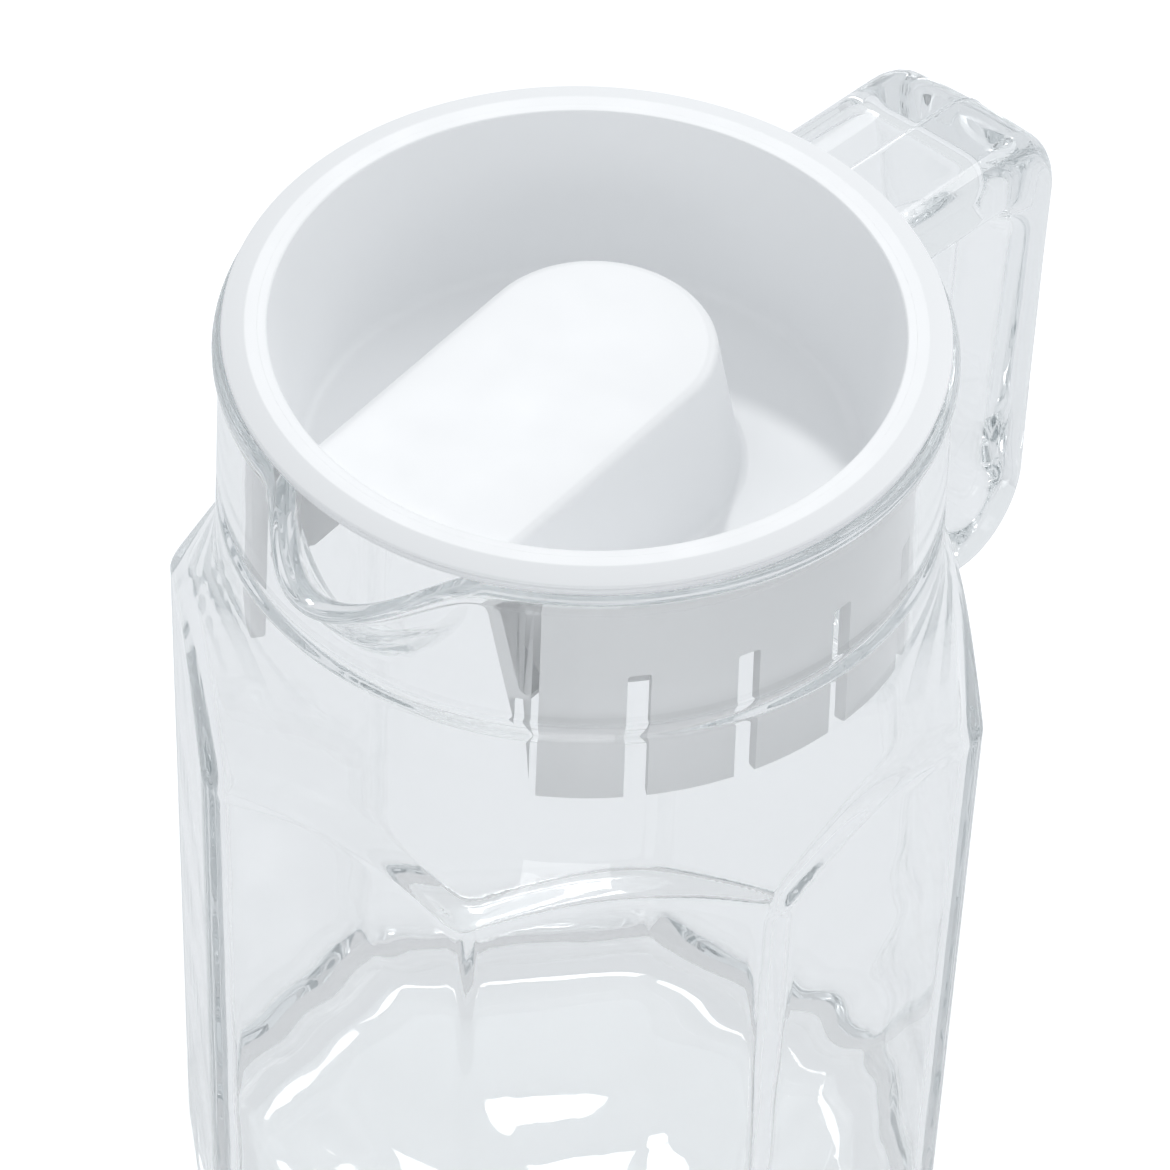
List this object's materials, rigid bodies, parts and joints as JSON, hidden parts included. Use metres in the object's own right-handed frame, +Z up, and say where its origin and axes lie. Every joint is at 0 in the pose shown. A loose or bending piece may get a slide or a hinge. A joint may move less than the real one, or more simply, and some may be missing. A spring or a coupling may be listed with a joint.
{
  "type": "glass pitcher with lid",
  "caption": "Eight-sided clear glass jug with a round neck, pulled spout and strap handle, and a white lift-off lid with a hollow grip bar and a slotted skirt.",
  "frame": {"origin": "centre of the base, on the surface the jug stands on", "axes": "+Z up along the jug's axis, +X towards the spout, the handle at -X, and a flat face at +Y and at -Y"},
  "size_m": [0.1701, 0.1198, 0.1882],
  "materials": {
    "glass": "clear pressed glass, fire polished",
    "lid_plastic": "white moulded polyethylene, satin"
  },
  "bodies": {
    "jug": {"glass_body": "glass", "glass_handle": "glass"},
    "lid_lifting": {"lid_rim": "lid_plastic"},
    "lid_turning": {"lid_cup": "lid_plastic", "lid_grip": "lid_plastic", "lid_skirt": "lid_plastic"}
  },
  "joints": [
    {"name": "lid_lift", "type": "slide", "parent": "jug", "child": "lid_lifting", "axis": [0, 0, 1], "range_m": [0, 0.07]},
    {"name": "lid_turn", "type": "hinge", "parent": "lid_lifting", "child": "lid_turning", "pos_m": [0, 0, 0.185], "axis": [0, 0, 1], "continuous": true}
  ]
}
